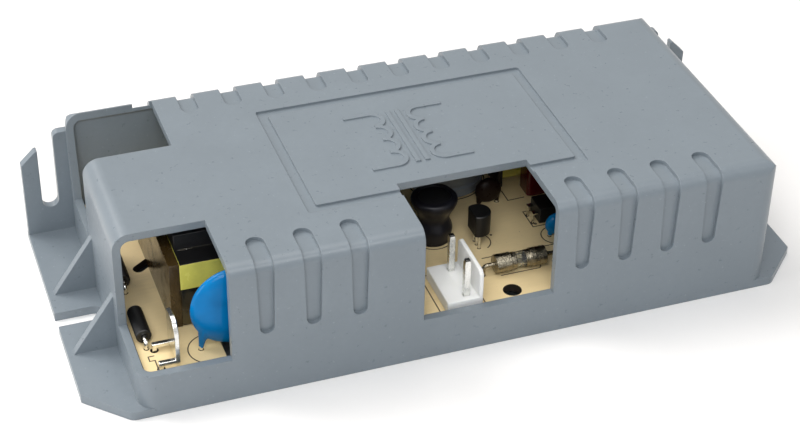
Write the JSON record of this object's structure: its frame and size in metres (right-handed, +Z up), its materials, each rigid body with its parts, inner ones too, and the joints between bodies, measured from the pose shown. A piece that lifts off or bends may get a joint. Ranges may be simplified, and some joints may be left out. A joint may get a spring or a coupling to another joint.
{
  "type": "high-voltage transformer module",
  "caption": "Moulded grey case with slotted side flanges and rear ears, cut open at three places over a loaded board with a high-voltage transformer.",
  "frame": {"origin": "middle of the case's footprint on the underside of the base and flanges", "axes": "+X along the case towards the plain end, +Y to the rear face with the ears, +Z up"},
  "size_m": [0.139, 0.059, 0.0285],
  "materials": {
    "case_plastic": "satin moulded plastic",
    "cover_plastic": "satin moulded plastic",
    "screw_steel": "zinc plated",
    "board_laminate": "tan paper laminate",
    "ferrite": "dark sintered ferrite",
    "black_plastic": "black moulded plastic",
    "copper": "enamelled copper wire",
    "yellow_tape": "yellow polyester tape",
    "amber_sheet": "amber translucent sheet",
    "tin": "bright tin plate",
    "blue_epoxy": "glossy blue epoxy coat",
    "white_nylon": "white moulded plastic",
    "clear_glass": "clear glass tube",
    "shrink_sleeve": "dark shrink sleeve",
    "can_sleeve": "dark grey sleeve",
    "red_case": "dark red potted box",
    "brown_coat": "brown coat",
    "sink_aluminium": "plain extruded aluminium",
    "resistor_coat": "beige lacquer"
  },
  "bodies": {
    "root": {"housing_shell": "case_plastic", "base_cover": "cover_plastic", "case_screws": "screw_steel", "circuit_board": "board_laminate", "core_upper": "ferrite", "core_lower": "ferrite", "winding_former": "black_plastic", "primary_winding": "copper", "secondary_winding": "copper", "primary_tape": "yellow_tape", "secondary_wrap": "amber_sheet", "barrier_plate": "amber_sheet", "former_pins": "tin", "hv_capacitor": "blue_epoxy", "hv_capacitor_leads": "tin", "hv_diode_front": "black_plastic", "hv_diode_front_lead": "tin", "hv_diode_rear": "black_plastic", "hv_diode_rear_lead": "tin", "output_terminal": "tin", "return_terminal": "tin", "header_base": "white_nylon", "header_pins": "tin", "fuse_glass": "clear_glass", "fuse_cap_left": "tin", "fuse_cap_right": "tin", "fuse_wire": "tin", "regulator": "black_plastic", "regulator_leads": "tin", "choke_core": "ferrite", "choke_winding": "copper", "choke_sleeve": "shrink_sleeve", "bulk_capacitor": "can_sleeve", "bulk_capacitor_leads": "tin", "film_capacitor": "red_case", "film_capacitor_leads": "tin", "optocoupler": "black_plastic", "optocoupler_leads": "tin", "small_capacitor": "blue_epoxy", "small_capacitor_leads": "tin", "line_coil_former": "black_plastic", "line_coil_core": "ferrite", "line_coil_winding": "yellow_tape", "line_coil_pins": "tin", "thermistor": "brown_coat", "thermistor_leads": "tin", "rectifier": "black_plastic", "rectifier_leads": "tin", "heat_sink": "sink_aluminium", "power_switch_left": "black_plastic", "power_switch_right": "black_plastic", "switch_leads": "tin", "switch_screws": "screw_steel", "resistors": "resistor_coat", "resistor_leads": "tin"}
  },
  "joints": []
}
